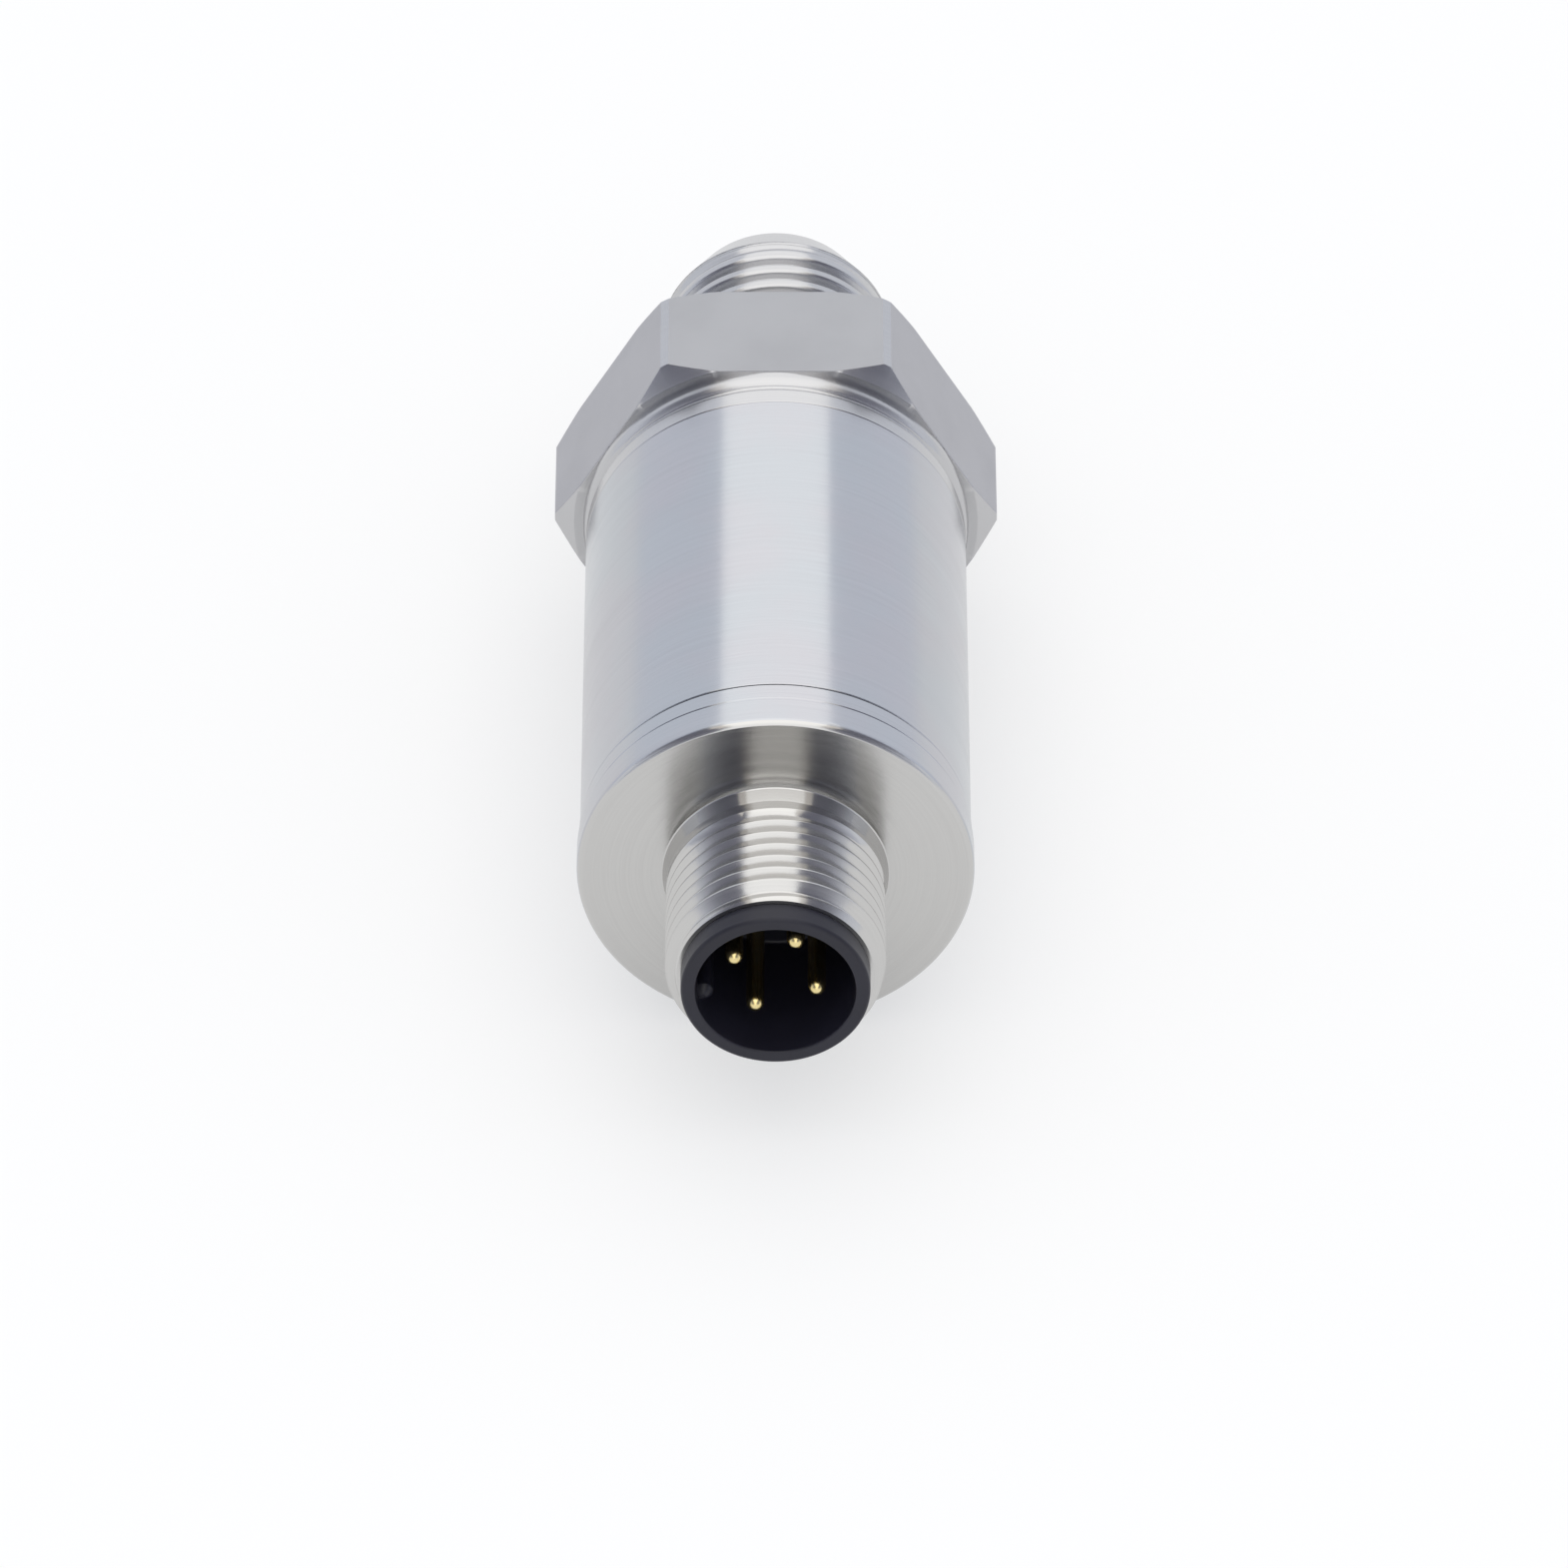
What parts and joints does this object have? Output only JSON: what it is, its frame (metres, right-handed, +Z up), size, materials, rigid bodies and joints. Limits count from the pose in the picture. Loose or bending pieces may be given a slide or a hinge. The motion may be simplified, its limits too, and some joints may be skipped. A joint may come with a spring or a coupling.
{
  "type": "pressure transmitter",
  "caption": "Slim stainless pressure transmitter: round tube housing, hexagon with threaded process port, and a round plug connector with contact pins.",
  "frame": {"origin": "centre of the sealing face that the process thread stands on, on the barrel's axis", "axes": "+Y along the barrel's axis and out of the process thread, -Y towards the plug connector, +Z up and square to the hexagon's top flat"},
  "size_m": [0.0252, 0.061, 0.022],
  "materials": {
    "turned_steel": "turned and milled stainless steel, satin",
    "tube_steel": "drawn stainless tube, bright, with fine scratches round it",
    "cap_steel": "turned stainless steel, satin face and polished rim",
    "seal_rubber": "black moulded rubber",
    "cell_ceramic": "white unglazed alumina",
    "carrier_plastic": "black moulded plastic, fine satin",
    "contact_gold": "gold-plated, bright",
    "tinned_lead": "tinned copper",
    "board_laminate": "green solder mask",
    "chip_plastic": "black moulded resin",
    "capacitor_ceramic": "tan ceramic",
    "sleeve_plastic": "natural white plastic"
  },
  "bodies": {
    "root": {"board_header": "chip_plastic", "capacitor_1": "capacitor_ceramic", "capacitor_2": "capacitor_ceramic", "capacitor_3": "capacitor_ceramic", "capacitor_4": "capacitor_ceramic", "carrier_seal_ring": "seal_rubber", "cell_clamp_ring": "turned_steel", "cell_diaphragm": "cell_ceramic", "cell_lead_1": "tinned_lead", "cell_lead_2": "tinned_lead", "cell_lead_3": "tinned_lead", "cell_lead_4": "tinned_lead", "cell_seal_ring": "seal_rubber", "connector_board": "board_laminate", "contact_carrier": "carrier_plastic", "contact_pin_1": "contact_gold", "contact_pin_2": "contact_gold", "contact_pin_3": "contact_gold", "contact_pin_4": "contact_gold", "end_cap": "cap_steel", "header_pin_1": "tinned_lead", "header_pin_2": "tinned_lead", "header_pin_3": "tinned_lead", "header_pin_4": "tinned_lead", "housing_tube": "tube_steel", "insulating_sleeve": "sleeve_plastic", "main_board": "board_laminate", "measuring_cell": "cell_ceramic", "output_chip": "chip_plastic", "port_seal_ring": "seal_rubber", "process_connection": "turned_steel", "signal_chip": "chip_plastic"}
  },
  "joints": []
}
